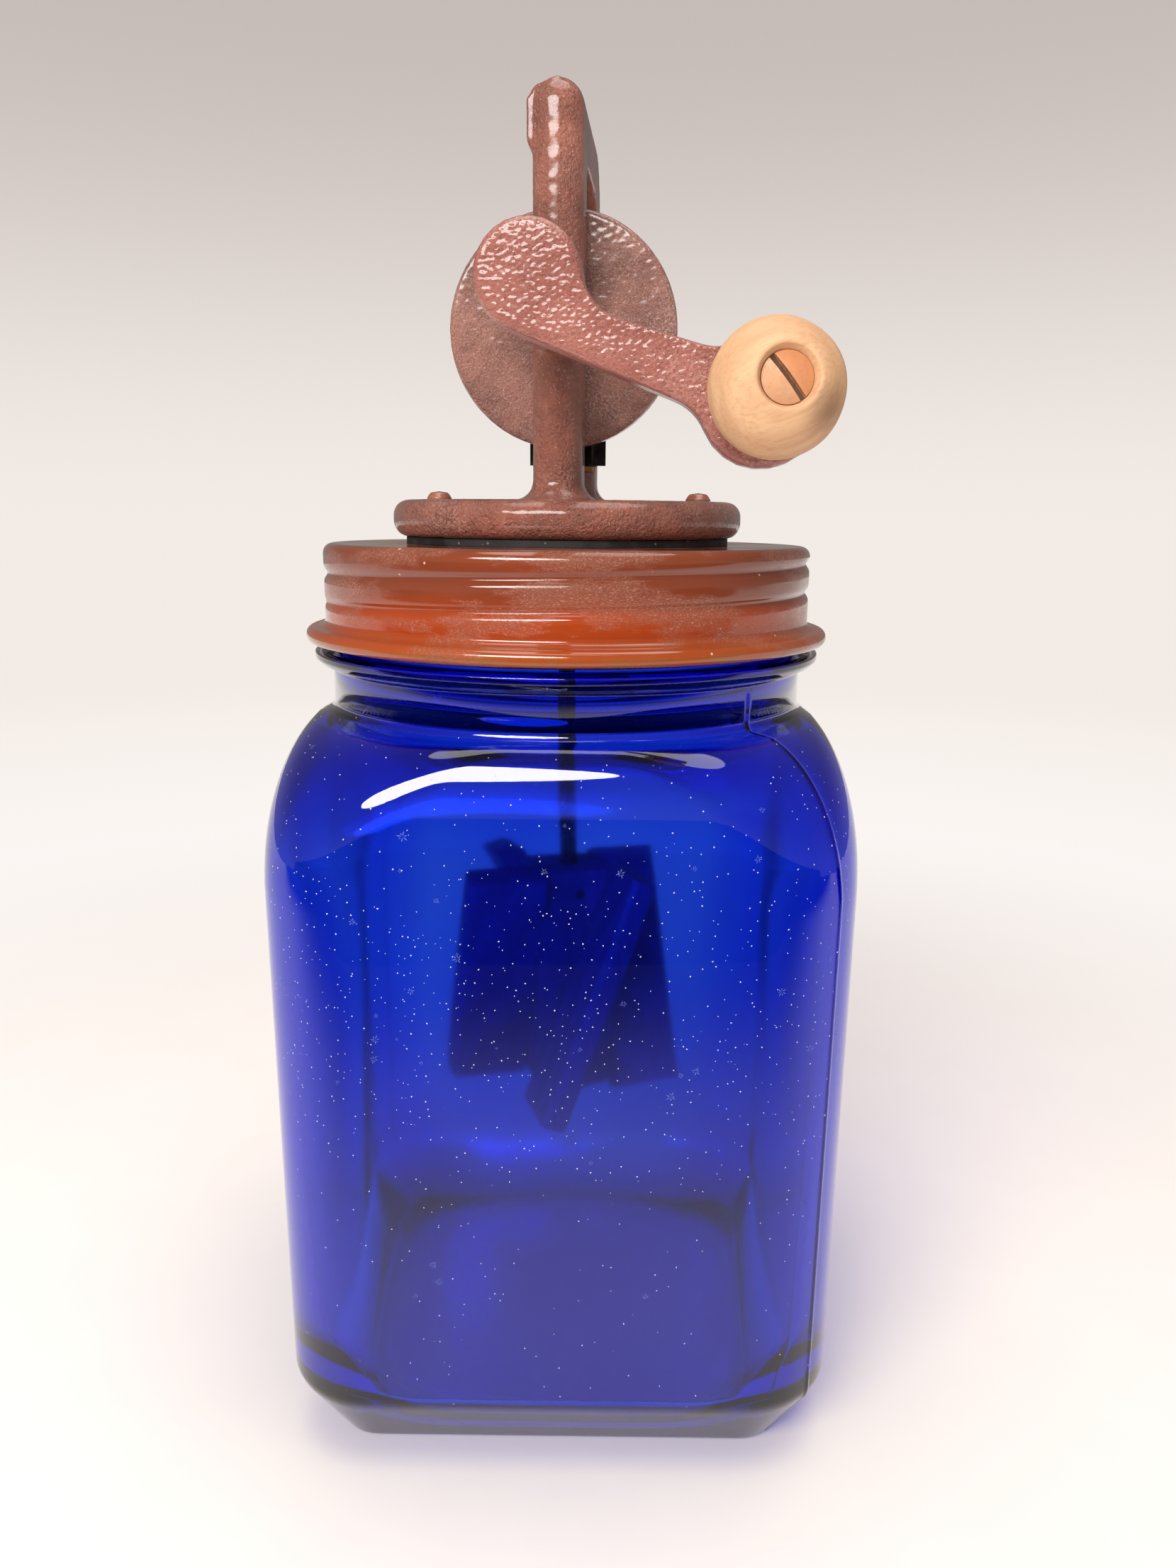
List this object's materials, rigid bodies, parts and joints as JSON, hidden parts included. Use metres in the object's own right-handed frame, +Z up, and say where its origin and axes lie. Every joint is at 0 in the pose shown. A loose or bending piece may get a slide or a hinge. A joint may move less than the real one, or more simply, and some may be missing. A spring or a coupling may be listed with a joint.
{
  "type": "glass jar butter churn",
  "caption": "Square cobalt glass jar with a screw cap that carries a cast arch, crank, crown gear and pinion, turning a wooden paddle dasher inside.",
  "frame": {"origin": "middle of the jar's flat foot, on the table", "axes": "+Z up along the dasher rod; the crank axle runs along Y with the crank on the -Y side; +X is to the right when the crank faces the viewer"},
  "size_m": [0.1298, 0.1603, 0.2902],
  "materials": {
    "cobalt_glass": "gloss",
    "cap_paint": "gloss",
    "casting_paint": "satin",
    "black_rubber": "matte",
    "seal_rubber": "matte",
    "dark_steel": "satin",
    "washer_steel": "satin",
    "bronze": "satin",
    "pinion_iron": "satin",
    "knob_wood": "satin",
    "dasher_wood": "matte",
    "screw_brass": "satin"
  },
  "bodies": {
    "jar": {"glass_jar": "cobalt_glass"},
    "seal": {"cap_seal": "seal_rubber"},
    "top": {"screw_cap": "cap_paint", "base_gasket": "black_rubber", "frame": "casting_paint", "frame_rivets": "casting_paint", "rivet_burrs": "washer_steel", "rod_bush": "bronze"},
    "crank": {"crank_arm": "casting_paint", "crank_axle": "dark_steel", "crank_pin": "dark_steel", "thrust_washer": "washer_steel", "gear_washer": "washer_steel", "drive_gear": "casting_paint", "gear_pin": "dark_steel", "knob_washer": "washer_steel", "knob_screw": "screw_brass"},
    "knob": {"knob": "knob_wood"},
    "dasher": {"dasher_rod": "dark_steel", "pinion": "pinion_iron", "pinion_pin": "dark_steel", "rod_collar": "dark_steel", "collar_pin": "dark_steel", "dasher_hub": "dasher_wood", "dasher_pin": "dark_steel", "paddle_dowels": "dasher_wood", "paddle_1": "dasher_wood", "paddle_2": "dasher_wood", "paddle_3": "dasher_wood", "paddle_4": "dasher_wood"}
  },
  "joints": [
    {"name": "lid_lift", "type": "slide", "parent": "jar", "child": "seal", "axis": [0, 0, 1], "range_m": [0, 0.16]},
    {"name": "lid_turn", "type": "hinge", "parent": "seal", "child": "top", "pos_m": [0, 0, 0.199], "axis": [0, 0, 1], "range_deg": [0, 420]},
    {"name": "crank_turn", "type": "hinge", "parent": "top", "child": "crank", "pos_m": [0, 0, 0.2446], "axis": [0, 1, 0], "continuous": true},
    {"name": "knob_spin", "type": "hinge", "parent": "crank", "child": "knob", "pos_m": [0.03947, -0.075, 0.22449], "axis": [0.1212, -0.9871, 0.1045], "continuous": true},
    {"name": "dasher_spin", "type": "hinge", "parent": "top", "child": "dasher", "pos_m": [0, 0, 0.2], "axis": [0, 0, 1], "continuous": true}
  ],
  "couplings": [
    {"joint": "dasher_spin", "follows": "crank_turn", "ratio": -3}
  ]
}
